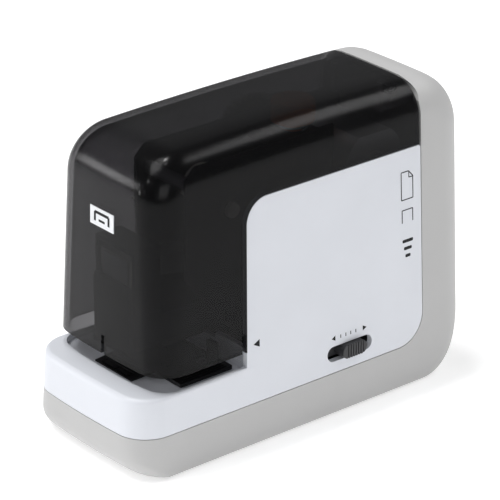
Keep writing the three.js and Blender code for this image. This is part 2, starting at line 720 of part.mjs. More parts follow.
function batteryCell(x, y, up) {
  const z1 = CELL.z + CELL.length;
  const can = rodZ(x, y, CELL.r, CELL.z + (up ? 0 : 1), z1 - (up ? 1 : 0), 24);
  const [tip0, tip1] = up ? [z1 - 1.5, z1] : [CELL.z, CELL.z + 1.5];
  return can.add(rodZ(x, y, 2.7, tip0, tip1, 12));
}

// ---------------------------------------------------------------- button and small pieces
function releaseButton() {
  const { y, r, low, top } = BUTTON;
  const profile = [
    [0, low], [r, low], [r, top - 1.5], [r - 0.5, top - 0.5], [r - 1.6, top], [0, top],
  ].map(([a, b]) => new THREE.Vector2(a, b));
  const cap = solid(new THREE.LatheGeometry(profile, 28).rotateX(Math.PI / 2).translate(0, y, 0));
  return cap.add(rodZ(0, y, 3, 84.6, low + 0.5)).add(rodZ(0, y, 3.9, 83.4, 84.8));
}

function buttonBridge() {
  return box(-11.7, 11.7, 7, 23, 86, 90).subtract(rodZ(0, BUTTON.y, 3 + GAP, 85, 91));
}

function dcJack() {
  const block = box(-5.5, 5.5, 57, 66.5, JACK.z - 6, JACK.z + 6);
  const barrel = rodY(0, JACK.z, JACK.r, 59, REAR_Y + 0.2, 24);
  const socket = rodY(0, JACK.z, 2.9, 61, REAR_Y + 1, 20);
  const pin = rodY(0, JACK.z, 1, 58, REAR_Y - 1, 12);
  return block.add(barrel).subtract(socket).add(pin);
}

function baseScrew(x, y) {
  const headTop = 4.7;
  const tip = y < 0 ? 21 : 16.5;
  const cross = box(x - 0.5, x + 0.5, y - 1.8, y + 1.8, 0, 3.4)
    .add(box(x - 1.8, x + 1.8, y - 0.5, y + 0.5, 0, 3.4));
  return rodZ(x, y, 3, 2.4, headTop).add(rodZ(x, y, 1.4, headTop - GAP, tip, 12)).subtract(cross);
}

// ---------------------------------------------------------------- assembly
const assembly = new THREE.Group();
assembly.name = 'electric_stapler';

function place(name, shape, finish) {
  const geometry = shape.isBufferGeometry ? shape : geometryOf(shape);
  const material = new THREE.MeshStandardMaterial(finish);
  material.name = name;
  const mesh = new THREE.Mesh(geometry, material);
  mesh.name = name;
  assembly.add(mesh);
}

place('rear_bottom_shell', greyShell(), GREY);
place('white_housing', whiteHousing(), WHITE);
place('smoke_cover', smokeCover(), SMOKE);
place('label_plate', prismY(roundedRect(-6.4, 5.6, 76.5, 82.6, 0.3, 2), -61.15, -60.75), NYLON);
for (const [name, x0] of [['left', -15.4], ['right', 10]]) {
  const pin = rodX(COVER_HINGE.y, COVER_HINGE.z, COVER_HINGE.pin, x0, x0 + 5.4, 12);
  place(`cover_hinge_pin_${name}`, pin, STEEL);
}

[-1, 1].forEach((side, i) => {
  place(`foot_${i + 1}`, frontFoot(side, 0, 0, FOOT_HEIGHT), RUBBER);
  place(`foot_${i + 3}`, rearFoot(side, 0, 0, FOOT_HEIGHT), RUBBER);
});
SCREWS.forEach(([x, y], i) => place(`base_screw_${i + 1}`, baseScrew(x, y), DARK_STEEL));

place('battery_door', batteryDoor(), GREY);
place('battery_holder', batteryHolder(), BLACK);
let cellNumber = 0;
for (const y of CELL.rows) {
  for (const column of [-1, 0, 1]) {
    cellNumber += 1;
    const cell = batteryCell(column * CELL.pitch, y, cellNumber % 2 === 0);
    place(`battery_cell_${cellNumber}`, cell, CELL_SKIN);
  }
}
place('battery_contact_top', box(-22, 22, 24, 49.5, 58.9, 59.6), BRASS);
place('battery_contact_door', box(-22, 22, 24, 49, 3.4, 4), BRASS);
place('dc_jack', dcJack(), BLACK);

place('control_board', box(-15.5, 15.5, -60, -26.5, BOARD_Z, BOARD_Z + 1.6), GREEN);
place('capacitor', rodZ(8, -52, 5, BOARD_Z + 1.9, 21, 20), CELL_SKIN);
place('paper_switch', box(-15.4, -9.4, -33.5, -26.8, BOARD_Z + 1.9, 15.4), BLACK);
place('sensor_lever', sensorLever(), NYLON);
place('depth_slider', depthSlider(), CHARCOAL);
place('clincher_table', clincherTable(), BLACK);
place('clinch_wing_left', clinchWing(-1), STEEL);
place('clinch_wing_right', clinchWing(1), STEEL);

place('frame_plate_left', framePlate(-1), STEEL);
place('frame_plate_right', framePlate(1), STEEL);
place('frame_spacer_front', rodX(-33, 86, 2.2, -11.7, 11.7, 16), DARK_STEEL);
place('frame_spacer_low', rodX(8, 20, 2.2, -11.7, 11.7, 16), DARK_STEEL);
place('pivot_shaft', rodX(PIVOT.y, PIVOT.z, PIVOT.r, -14, 14), DARK_STEEL);
place('motor', motorCan(), STEEL);
place('motor_pinion', motorPinion(), BRASS);
place('reduction_gear_a', gearPair(GEAR_A, MOTOR, GEAR_B, LAYERS[0], LAYERS[1]), NYLON);
place('reduction_gear_b', gearPair(GEAR_B, GEAR_A, CAM, LAYERS[1], LAYERS[2]), NYLON);
place('gear_axle_a', rodX(GEAR_A.y, GEAR_A.z, 1.5, -22.9, -11.7, 14), DARK_STEEL);
place('gear_axle_b', rodX(GEAR_B.y, GEAR_B.z, 1.5, -20.4, -11.7, 14), DARK_STEEL);
place('cam_gear', camGear(), NYLON);
place('drive_arm', driveArm(), DARK_STEEL);
place('arm_roller', armRoller(), STEEL);

place('driver_housing', driverHousing(), STEEL);
place('driver_carrier', driverCarrier(), NYLON);
const blade = box(-BLADE.half, BLADE.half, BLADE.y0, BLADE.y1, BLADE.z0, BLADE.z1);
place('driver_blade', blade, STEEL);
place('magazine_channel', magazineChannel(), STEEL);
place('magazine_front', magazineFront(), BLACK);
place('staple_rail', stapleRail(), BLACK);
place('staple_strip', saddle(STAPLES), STEEL);
place('staple_pusher', saddle(PUSHER), NYLON);
const springStart = new THREE.Vector3(0, -0.4, 43.2);
const springEnd = new THREE.Vector3(0, 11.9, 43.2);
place('pusher_spring', coil(springStart, springEnd, 1.2, 7, 0.25), STEEL);

place('release_button', releaseButton(), ORANGE);
const buttonLow = new THREE.Vector3(0, BUTTON.y, 90.2);
const buttonHigh = new THREE.Vector3(0, BUTTON.y, BUTTON.low - 0.2);
place('button_spring', coil(buttonLow, buttonHigh, 4.6, 2, 0.3), STEEL);
place('button_bridge', buttonBridge(), BLACK);

export default assembly;
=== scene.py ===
import math

import bmesh
import bpy
import numpy as np
from mathutils import Matrix, Vector


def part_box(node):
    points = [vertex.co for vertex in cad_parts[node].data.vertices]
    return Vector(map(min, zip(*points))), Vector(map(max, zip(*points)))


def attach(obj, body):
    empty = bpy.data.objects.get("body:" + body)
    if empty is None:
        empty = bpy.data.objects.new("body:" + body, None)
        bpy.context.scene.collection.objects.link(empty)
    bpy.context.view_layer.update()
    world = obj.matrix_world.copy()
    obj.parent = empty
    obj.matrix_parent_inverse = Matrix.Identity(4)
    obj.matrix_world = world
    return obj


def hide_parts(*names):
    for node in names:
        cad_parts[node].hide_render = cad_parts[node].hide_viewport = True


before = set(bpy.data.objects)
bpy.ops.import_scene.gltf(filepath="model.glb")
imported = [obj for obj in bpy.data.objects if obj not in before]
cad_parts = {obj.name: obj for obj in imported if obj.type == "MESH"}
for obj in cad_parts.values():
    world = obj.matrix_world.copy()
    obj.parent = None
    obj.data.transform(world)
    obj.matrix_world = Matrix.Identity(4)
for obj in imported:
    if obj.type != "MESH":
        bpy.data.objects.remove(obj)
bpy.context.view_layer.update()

# All lengths are in millimetres, and turn into metres where a mesh is made.
MM = 0.001
FAR = 90                # past every side of the object, for regions and cutting blocks


# ---------------------------------------------------------------- places from the CAD frame
def low(node, axis):
    """Lowest coordinate of a CAD node along x, y or z."""
    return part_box(node)[0]["xyz".index(axis)] / MM


def high(node, axis):
    """Highest coordinate of a CAD node along x, y or z."""
    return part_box(node)[1]["xyz".index(axis)] / MM


BOTTOM = low("rear_bottom_shell", "z") - 0.5
REAR = high("rear_bottom_shell", "y") + 0.2
CREST_Z = high("rear_bottom_shell", "z") + 0.7
COVER_BOTTOM = low("smoke_cover", "z")
COVER_REAR = high("smoke_cover", "y")
PANEL_REAR = high("white_housing", "y")
TABLE_TOP = high("clincher_table", "z")
BUTTON_TOP = high("release_button", "z")
DOOR_BOTTOM = low("battery_door", "z")
DOOR_FRONT = high("battery_door", "y")
JACK_Z = (low("dc_jack", "z") + high("dc_jack", "z")) / 2

CREST_Y = 5.0           # where the top line is highest
CREST_CURVE = 0.00031   # how fast it falls away from there
CROWN_DROP = 0.55       # how far the top falls towards the sides
CROWN_HALF = 24
CROWN_POWER = 2.4
NOSE_BOW = 1.4          # the front faces bulge by this much
UPPER_FROM = 50         # above this height the upper corners apply
WALL = 2.2
COVER_WALL = 2.0

BAND_Z = 15.0           # seam between the grey shell and the white housing
BAND_GAP = 0.12
PANEL_TOP = 83.9
SEAM_REAR = 49.3        # seam between the cover and the grey tower
DECK_Z = 28.2           # top of the nose deck
DECK_UNDER = 24.0
RECESS_Z = 26.0         # floor of the shallow recess in the deck
THROAT_Y = -26          # upright wall behind the paper throat
THROAT_TOP = 36
HINGE_Y = 45.0
HINGE_Z = 101.0
HINGE_BORE = 1.05
FOOT_X = 19             # the two round feet under the nose
FOOT_Y = -57.2


# ---------------------------------------------------------------- smooth outer forms
def round_max(a, b, r):
    """Joins two faces' distances, with the edge between them rounded to radius r."""
    u, v = a + r, b + r
    outside = np.hypot(np.maximum(u, 0), np.maximum(v, 0))
    return np.minimum(np.maximum(u, v), 0) + outside - r


def hull(points, form, inset):
    """Distance outside a rounded, drafted block: sides, bowed front, crowned top, rear, bottom."""
    x, y, z = points[:, 0], points[:, 1], points[:, 2]
    half = form["half"] - form["draft"] * (z - form["from_z"])
    side = np.abs(x) - half
    bow = NOSE_BOW * (x / form["half"]) ** 2
    front = form["front"] + form["lean"] * (z - form["from_z"]) + bow - y
    rear = y - form["rear"]
    crown = CROWN_DROP * (np.clip(np.abs(x) / CROWN_HALF, 0, 1.2)) ** CROWN_POWER
    top = z - (CREST_Z - CREST_CURVE * (y - CREST_Y) ** 2 - crown)
    bottom = form["bottom"] - z
    ahead = y < 0
    across = np.where(ahead, front, rear)
    corner = np.where(ahead, form["r_front"], form["r_rear"])

    # upper half: the side view's round corners first, then the edges towards the sides
    radius = np.where(ahead, form["r_front_top"], form["r_rear_top"])
    profile = round_max(across, top, radius)
    share = part(across + radius, top + radius)
    upper = round_max(side, profile, share * corner + (1 - share) * form["r_top"])

    # lower front: the plan's round corners first, then the edge round the bottom
    outline = round_max(side, front, form["r_front"])
    share = part(front + form["r_front"], side + form["r_front"]) ** 0.4
    low_edge = share * form["r_front_bottom"] + (1 - share) * form["r_bottom"]
    lower_front = round_max(outline, bottom, low_edge)

    # lower rear: the side view's round corner first again
    radius = form["r_rear_bottom"]
    profile = round_max(rear, bottom, radius)
    share = part(rear + radius, bottom + radius)
    lower_rear = round_max(side, profile, share * form["r_rear"] + (1 - share) * form["r_bottom"])
    return np.where(z > UPPER_FROM, upper, np.where(ahead, lower_front, lower_rear)) + inset


def part(a, b):
    """How much of a corner belongs to its first face."""
    wa, wb = np.maximum(a, 0) ** 2, np.maximum(b, 0) ** 2
    return wa / (wa + wb + 1e-9)


# half width, lean of the sides and front, ends, and the radius of each kind of corner
BODY = {
    "half": 29.8, "draft": 0.051, "from_z": 0.0, "front": -70.8, "lean": 0.045, "rear": REAR,
    "bottom": BOTTOM, "r_front_top": 15.0, "r_front_bottom": 8.5, "r_rear_top": 17.5,
    "r_rear_bottom": 21.0, "r_front": 10.4, "r_rear": 11.0, "r_top": 10.4, "r_bottom": 1.0,
}
COVER = {
    "half": 28.6, "draft": 0.056, "from_z": 33.6, "front": -61.6, "lean": 0.026, "rear": REAR,
    "bottom": COVER_BOTTOM - 18, "r_front_top": 14.6, "r_front_bottom": 7.0, "r_rear_top": 17.5,
    "r_rear_bottom": 7.0, "r_front": 9.0, "r_rear": 11.0, "r_top": 10.3, "r_bottom": 7.0,
}


# reach of the close grid lines at each end, their number, and how many lie between
GRID_X = (12, 12, 9)
GRID_Y = (24, 17, 12)
GRID_Z = (23, 17, 8)


def graded(low_end, high_end, reach, steps, middle):
    """Grid lines from one end to the other, close together near both."""
    near = [reach * (i / steps) ** 1.35 for i in range(steps + 1)]
    inner = np.linspace(low_end + reach, high_end - reach, middle + 2)[1:-1]
    return np.array([low_end + v for v in near] + list(inner) + [high_end - v for v in reversed(near)])


def slope_along(points, form, inset, axis, h):
    """How fast the distance from the form rises along one axis, from a central difference."""
    step = np.zeros(3)
    step[axis] = h
    return (hull(points + step, form, inset) - hull(points - step, form, inset)) / (2 * h)


def project(points, form, inset):
    """Points moved straight onto the form's surface."""
    for _ in range(14):
        value = hull(points, form, inset)
        slope = np.empty_like(points)
        for axis in range(3):
            slope[:, axis] = slope_along(points, form, inset, axis, 0.01)
        scale = value / np.maximum((slope ** 2).sum(1), 0.2)
        points = points - slope * scale[:, None] * 0.9
    return points


def form_mesh(form, inset):
    """A closed quad mesh of one form, as a bmesh in metres."""
    xs = graded(-form["half"], form["half"], *GRID_X)
    ys = graded(form["front"] - 1, form["rear"], *GRID_Y)
    zs = graded(form["bottom"], CREST_Z, *GRID_Z)
    counts = (len(xs), len(ys), len(zs))
    ids, places = {}, []

    def vertex(i, j, k):
        if (i, j, k) not in ids:
            ids[i, j, k] = len(places)
            places.append((xs[i], ys[j], zs[k]))
        return ids[i, j, k]

    quads = []
    for axis in range(3):
        a, b = [n for n in range(3) if n != axis]
        for end in (0, counts[axis] - 1):
            for i in range(counts[a] - 1):
                for j in range(counts[b] - 1):
                    quad = []
                    for di, dj in ((0, 0), (1, 0), (1, 1), (0, 1)):
                        key = [0, 0, 0]
                        key[axis], key[a], key[b] = end, i + di, j + dj
                        quad.append(vertex(*key))
                    quads.append(quad)
    moved = project(np.array(places), form, inset) * MM
    bm = bmesh.new()
    verts = [bm.verts.new(p) for p in moved]
    for quad in quads:
        bm.faces.new([verts[n] for n in quad])
    bmesh.ops.recalc_face_normals(bm, faces=bm.faces)
    return bm


# ---------------------------------------------------------------- mesh tools
def arc(a, b, r, start, end, steps):
    """Points of an arc about (a, b), with its angles in degrees."""
    angles = np.radians(np.linspace(start, end, steps + 1))
    return [(a + r * math.cos(t), b + r * math.sin(t)) for t in angles]


def circle(a, b, r, steps):
    """Outline of a full circle."""
    return arc(a, b, r, 0, 360, steps)[:-1]


def rounded(a0, a1, b0, b1, r, steps=8):
    """Outline of a rectangle with round corners."""
    return (
        arc(a0 + r, b0 + r, r, 180, 270, steps) + arc(a1 - r, b0 + r, r, 270, 360, steps)
        + arc(a1 - r, b1 - r, r, 0, 90, steps) + arc(a0 + r, b1 - r, r, 90, 180, steps)
    )


def span(side, inner, outer):
    """The stretch between two distances from the middle plane, on one side of it."""
    return sorted((side * inner, side * outer))


def in_space(a, b, axis, level):
    """A point of an outline, at a level along the axis across its plane, in metres."""
    place = [a, b]
    place.insert("xyz".index(axis), level)
    return Vector(place) * MM


def join_rings(bm, first, second):
    """Closes the space between two rings of the same count, with their ends capped."""
    bm.faces.new(first)
    bm.faces.new(list(reversed(second)))
    count = len(first)
    for i in range(count):
        j = (i + 1) % count
        bm.faces.new((first[j], first[i], second[i], second[j]))


def prism(outline, axis, start, end):
    """An outline in the plane across an axis, drawn out from start to end."""
    bm = bmesh.new()
    rings = []
    for level in (start, end):
        rings.append([bm.verts.new(in_space(a, b, axis, level)) for a, b in outline])
    join_rings(bm, *rings)
    bmesh.ops.recalc_face_normals(bm, faces=bm.faces)
    return bm


def block(x0, x1, y0, y1, z0, z1):
    """A plain box between two places on each axis."""
    return prism([(x0, y0), (x1, y0), (x1, y1), (x0, y1)], "z", z0, z1)


def to_object(bm, name):
    """A new object in the scene, made from a bmesh that is then freed."""
    mesh = bpy.data.meshes.new(name)
    bm.to_mesh(mesh)
    bm.free()
    obj = bpy.data.objects.new(name, mesh)
    bpy.context.scene.collection.objects.link(obj)
    return obj


def combine(obj, steps):
    """Adds, cuts or keeps other shapes; each step is an operation and a bmesh."""
    helpers = []
    for operation, other in steps:
        helper = to_object(other, "helper")
        helpers.append(helper)
        modifier = obj.modifiers.new("cut", "BOOLEAN")
        modifier.operation = operation
        modifier.solver = "EXACT"
        modifier.object = helper
    bake(obj)
    for helper in helpers:
        bpy.data.meshes.remove(helper.data)


def bake(obj):
    """Puts the result of an object's modifiers into its mesh."""
    bpy.context.view_layer.update()
    graph = bpy.context.evaluated_depsgraph_get()
    mesh = bpy.data.meshes.new_from_object(obj.evaluated_get(graph))
    old = obj.data
    obj.modifiers.clear()
    obj.data = mesh
    bpy.data.meshes.remove(old)


def soften(obj, width, segments=2):
    """Rounds the sharp edges and shades the rest smoothly."""
    bm = bmesh.new()
    bm.from_mesh(obj.data)
    bmesh.ops.remove_doubles(bm, verts=bm.verts, dist=0.02 * MM)
    bmesh.ops.dissolve_degenerate(bm, edges=bm.edges, dist=0.01 * MM)
    bm.to_mesh(obj.data)
    bm.free()
    modifier = obj.modifiers.new("edge", "BEVEL")
    modifier.width = width * MM
    modifier.segments = segments
    modifier.limit_method = "ANGLE"
    modifier.angle_limit = math.radians(38)
    modifier.use_clamp_overlap = True
    modifier.harden_normals = False
    bake(obj)
    obj.data.shade_smooth()
    obj.data.set_sharp_from_angle(angle=math.radians(32))
    weighted = obj.modifiers.new("normals", "WEIGHTED_NORMAL")
    weighted.keep_sharp = True
    weighted.weight = 60


def finish_piece(obj, material, body, *nodes):
    """Gives a piece its material and body, and hides the CAD nodes it stands for."""
    obj.data.materials.clear()
    obj.data.materials.append(material)
    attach(obj, body)
    if nodes:
        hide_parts(*nodes)


# ---------------------------------------------------------------- materials
def new_material(name):
    """A material with its node tree and main shader."""
    material = bpy.data.materials.new(name)
    material.use_nodes = True
    tree = material.node_tree
    return material, tree, tree.nodes["Principled BSDF"]


def noise(tree, scale, detail, rough=0.5):
    """Noise that stays with the object as it moves."""
    coords = tree.nodes.new("ShaderNodeTexCoord")
    texture = tree.nodes.new("ShaderNodeTexNoise")
    texture.inputs["Scale"].default_value = scale
    texture.inputs["Detail"].default_value = detail
    texture.inputs["Roughness"].default_value = rough
    tree.links.new(coords.outputs["Object"], texture.inputs["Vector"])
    return texture


def spread(tree, source, least, most):
    """A value from 0 to 1, spread over another range."""
    node = tree.nodes.new("ShaderNodeMapRange")
    node.inputs["To Min"].default_value = least
    node.inputs["To Max"].default_value = most
    tree.links.new(source, node.inputs["Value"])
    return node.outputs["Result"]


def tinted(tree, source, color_a, color_b):
    """A colour that drifts between two with a noise value."""
    ramp = tree.nodes.new("ShaderNodeValToRGB")
    ramp.color_ramp.elements[0].color = (*color_a, 1)
    ramp.color_ramp.elements[1].color = (*color_b, 1)
    ramp.color_ramp.elements[0].position = 0.3
    ramp.color_ramp.elements[1].position = 0.7
    tree.links.new(source, ramp.inputs["Fac"])
    return ramp.outputs["Color"]


def bumped(tree, shader, source, strength, distance):
    """Fine surface relief on a shader."""
    bump = tree.nodes.new("ShaderNodeBump")
    bump.inputs["Strength"].default_value = strength
    bump.inputs["Distance"].default_value = distance
    tree.links.new(source, bump.inputs["Height"])
    tree.links.new(bump.outputs["Normal"], shader.inputs["Normal"])


def plastic(name, color, roughness, grain=0.12, scale=2600, shift=0.02, specular=0.5):
    """Moulded plastic or rubber: grain is its relief, shift its drift in colour."""
    material, tree, shader = new_material(name)
    broad = noise(tree, 35, 3)
    fine = noise(tree, scale, 2, 0.6)
    dark = [c * (1 - shift) for c in color]
    light = [min(c * (1 + shift), 1) for c in color]
    tree.links.new(tinted(tree, broad.outputs["Fac"], dark, light), shader.inputs["Base Color"])
    gloss = spread(tree, fine.outputs["Fac"], roughness - 0.05, roughness + 0.05)
    tree.links.new(gloss, shader.inputs["Roughness"])
    shader.inputs["Specular IOR Level"].default_value = specular
    bumped(tree, shader, fine.outputs["Fac"], grain, 0.00002)
    return material


def metal(name, color, roughness):
    """Metal with fine streaks across the object's Y axis."""
    material, tree, shader = new_material(name)
    coords = tree.nodes.new("ShaderNodeTexCoord")
    mapping = tree.nodes.new("ShaderNodeMapping")
    mapping.inputs["Scale"].default_value = (1, 40, 1)
    texture = tree.nodes.new("ShaderNodeTexNoise")
    texture.inputs["Scale"].default_value = 300
    texture.inputs["Detail"].default_value = 3
    tree.links.new(coords.outputs["Object"], mapping.inputs["Vector"])
    tree.links.new(mapping.outputs["Vector"], texture.inputs["Vector"])
    dark = [c * 0.9 for c in color]
    tree.links.new(tinted(tree, texture.outputs["Fac"], dark, color), shader.inputs["Base Color"])
    gloss = spread(tree, texture.outputs["Fac"], roughness - 0.08, roughness + 0.1)
    tree.links.new(gloss, shader.inputs["Roughness"])
    shader.inputs["Metallic"].default_value = 1
    bumped(tree, shader, texture.outputs["Fac"], 0.08, 0.00003)
    return material


def smoke(name):
    """Dark tinted clear plastic: slightly see-through, with a glossy outer skin."""
    material, tree, shader = new_material(name)
    broad = noise(tree, 45, 2)
    fine = noise(tree, 900, 2)
    tree.links.new(
        tinted(tree, broad.outputs["Fac"], (0.002, 0.002, 0.0022), (0.0035, 0.0035, 0.004)),
        shader.inputs["Base Color"],
    )
    tree.links.new(spread(tree, fine.outputs["Fac"], 0.16, 0.22), shader.inputs["Roughness"])
    shader.inputs["Specular IOR Level"].default_value = 0.2
    bumped(tree, shader, fine.outputs["Fac"], 0.04, 0.00002)
    clear = tree.nodes.new("ShaderNodeBsdfTransparent")
    clear.inputs["Color"].default_value = (0.87, 0.86, 0.88, 1)
    # seen edge-on the wall is thicker, so less light comes through
    facing = tree.nodes.new("ShaderNodeLayerWeight")
    facing.inputs["Blend"].default_value = 0.5
    opacity = tree.nodes.new("ShaderNodeMapRange")
    opacity.inputs["From Min"].default_value = 0.35
    opacity.inputs["From Max"].default_value = 0.9
    opacity.inputs["To Min"].default_value = 0.58
    opacity.inputs["To Max"].default_value = 1.0
    tree.links.new(facing.outputs["Facing"], opacity.inputs["Value"])
    mix = tree.nodes.new("ShaderNodeMixShader")
    tree.links.new(opacity.outputs["Result"], mix.inputs["Fac"])
    tree.links.new(clear.outputs["BSDF"], mix.inputs[1])
    tree.links.new(shader.outputs["BSDF"], mix.inputs[2])
    tree.links.new(mix.outputs["Shader"], tree.nodes["Material Output"].inputs["Surface"])
    return material


WHITE = plastic("white_shell", (0.74, 0.76, 0.81), 0.42)
GREY = plastic("warm_grey_shell", (0.515, 0.513, 0.511), 0.5)
SMOKE = smoke("smoke_cover")
BLACK = plastic("black_satin", (0.012, 0.012, 0.013), 0.38)
TABLE = plastic("black_table", (0.006, 0.006, 0.007), 0.36, grain=0.2, specular=0.3)
KNOB = plastic("charcoal_knob", (0.030, 0.030, 0.033), 0.5, grain=0.25)
RUBBER = plastic("rubber", (0.02, 0.02, 0.02), 0.85, grain=0.5, scale=1200)
ORANGE = plastic("orange", (0.90, 0.24, 0.03), 0.35)
INK = plastic("ink", (0.012, 0.012, 0.013), 0.6, grain=0.02, specular=0.2)
PAPER = plastic("label_white", (0.80, 0.81, 0.83), 0.45, grain=0.03)
NYLON = plastic("nylon", (0.62, 0.60, 0.52), 0.5)
GREEN = plastic("board_green", (0.01, 0.09, 0.04), 0.4)
SLEEVE = plastic("cell_sleeve", (0.05, 0.12, 0.22), 0.35)
STEEL = metal("steel", (0.56, 0.57, 0.58), 0.32)
DARK_STEEL = metal("dark_steel", (0.25, 0.25, 0.26), 0.4)
BLACKENED = metal("blackened_steel", (0.03, 0.03, 0.033), 0.42)
BRASS = metal("brass", (0.66, 0.48, 0.20), 0.3)


# ---------------------------------------------------------------- regions, seen from the side
def rear_corner(grow, start, end):
    """The white panel's lower rear corner."""
    return arc(38.4, 25.65, 10.5 + grow, start, end, 12)


def front_corner(grow, start, end):
    """The white panel's upper front corner."""
    return arc(-15.6, 75.4, 8.5 + grow, start, end, 12)


WHITE_REGION = (
    [(-FAR, BAND_Z + BAND_GAP)] + rear_corner(0, 270, 360)
    + arc(PANEL_REAR - 1, PANEL_TOP - 1, 1, 0, 90, 3) + front_corner(0, 90, 180)
    + [(-25.6, THROAT_TOP), (THROAT_Y, DECK_Z), (-FAR, DECK_Z)]
)
GREY_REGION = (
    [(-FAR, -5), (FAR, -5), (FAR, 110), (SEAM_REAR, 110), (SEAM_REAR, PANEL_TOP)]
    + rear_corner(0.3, 360, 270) + [(-FAR, BAND_Z - BAND_GAP)]
)
COVER_REGION = (
    [(-FAR, COVER_BOTTOM), (THROAT_Y - 0.1, COVER_BOTTOM), (THROAT_Y, THROAT_TOP)]
    + front_corner(0.4, 180, 90)
    + [(COVER_REAR, PANEL_TOP + 0.4), (COVER_REAR, 110), (-FAR, 110)]
)


# ---------------------------------------------------------------- grey bottom and rear shell
def base_openings():
    """Cuts in the underside: the battery opening, then foot and screw pockets on each side."""
    cuts = [("DIFFERENCE", prism(rounded(-23.4, 23.4, 20.5, 52.5, 0.3, 4), "z", -2, 4))]
    for side in (-1, 1):
        round_pocket = circle(side * FOOT_X, FOOT_Y, 4.0, 40)
        long_pocket = rounded(*span(side, 24.4, 27.8), 25.8, 46.2, 1.65)
        cuts.append(("DIFFERENCE", prism(round_pocket, "z", -2, 1.9)))
        cuts.append(("DIFFERENCE", prism(long_pocket, "z", -2, 1.9)))
        for screw_y in (-50, 4):
            cuts.append(("DIFFERENCE", prism(circle(side * 21, screw_y, 3.3, 32), "z", -2, 2.3)))
    return cuts


def hinge_brackets():
    """Two bored brackets in the tower, which carry the cover's hinge pins."""
    outline = arc(HINGE_Y, HINGE_Z, 2, 0, 180, 16)
    outline += [(HINGE_Y - 2, 92.8), (66.5, 92.8), (66.5, 95), (HINGE_Y + 2, 95)]
    bore = circle(HINGE_Y, HINGE_Z, HINGE_BORE, 24)
    steps = []
    for side in (-1, 1):
        x0, x1 = span(side, 10, 12.7)
        steps.append(("UNION", prism(outline, "x", x0, x1)))
        steps.append(("DIFFERENCE", prism(bore, "x", x0 - 1, x1 + 1)))
    return steps


def grey_shell():
    shell = to_object(form_mesh(BODY, 0), "grey_shell")
    steps = [
        ("INTERSECT", prism(GREY_REGION, "x", -60, 60)),
        ("DIFFERENCE", form_mesh(BODY, WALL)),
    ]
    steps += base_openings()
    steps.append(("DIFFERENCE", prism(circle(0, JACK_Z, 4.8, 40), "y", 60, 80)))
    # room for the cover's rear edge as it turns about the hinge
    steps.append(("DIFFERENCE", prism(circle(HINGE_Y, HINGE_Z, 5.1, 48), "x", -24, 24)))
    steps += hinge_brackets()
    combine(shell, steps)
    soften(shell, 0.3)
    finish_piece(shell, GREY, "base", "rear_bottom_shell")


# ---------------------------------------------------------------- white housing
SHOULDER_REAR = -27.2   # the deck's rounded edge ends here


def level_rows(bm, front_radius):
    """Rows of points round the deck's edge, for its rounding."""
    for row in range(7):
        level = DECK_Z - front_radius * (1 - math.sin(math.radians(row * 14)))
        bmesh.ops.bisect_plane(
            bm, geom=bm.verts[:] + bm.edges[:] + bm.faces[:], dist=1e-7,
            plane_co=(0, 0, level * MM), plane_no=(0, 0, 1),
        )


def round_shoulder(obj, front_radius, side_radius):
    """Rounds the outer edge of the nose deck, more at the front than along the sides."""
    bm = bmesh.new()
    bm.from_mesh(obj.data)
    level_rows(bm, front_radius)
    lowest = (DECK_Z - front_radius - 0.01) * MM
    found = [v for v in bm.verts if v.co.y < SHOULDER_REAR * MM and v.co.z > lowest]
    points = np.array([v.co for v in found]) / MM
    value = hull(points, BODY, 0)
    slope = np.zeros_like(points)
    for axis in (0, 1):
        slope[:, axis] = slope_along(points, BODY, 0, axis, 0.05)
    slope /= np.maximum(np.linalg.norm(slope, axis=1), 1e-9)[:, None]
    for vert, point, off, normal in zip(found, points, value, slope):
        if abs(off) > 0.08 or point[2] > DECK_Z + 0.05:
            continue
        forward = max(-normal[1], 0)
        radius = side_radius + (front_radius - side_radius) * forward ** 2
        radius *= min(max((SHOULDER_REAR - point[1]) / 5, 0), 1)
        height = min(point[2] - (DECK_Z - radius), radius)
        if height > 0:
            inset = radius - math.sqrt(max(radius ** 2 - height ** 2, 0))
            vert.co -= Vector(normal) * inset * MM
    bm.to_mesh(obj.data)
    bm.free()


def housing_cavity():
    """The space inside the housing, less the deck's thickness and the throat's rear wall."""
    cavity = to_object(form_mesh(BODY, WALL), "cavity")
    combine(cavity, [
        ("DIFFERENCE", block(-FAR, FAR, -FAR, -22.5, DECK_UNDER, DECK_Z)),
        ("DIFFERENCE", block(-FAR, FAR, -24.5, -22.5, DECK_UNDER, 33.4)),
    ])
    bm = bmesh.new()
    bm.from_mesh(cavity.data)
    bpy.data.meshes.remove(cavity.data)
    return bm


def deck_recess():
    """Outline of the recess round the clincher table, seen from above."""
    return (
        arc(-19.1, -51.8, 8, 180, 262, 12)
        + [(-14, -60.6), (-7, -60.9), (0, -61), (7, -60.9), (14, -60.6)]
        + arc(19.1, -51.8, 8, 278, 360, 12)
        + arc(24.1, -28, 3, 0, 90, 6)
        + arc(-24.1, -28, 3, 90, 180, 6)
    )


# openings through the deck and the table: paper stop, sensor lever
STOP_OPENING = (11.5, 16.5, -35)
SENSOR_OPENING = (-16.4, -13.6, -33)


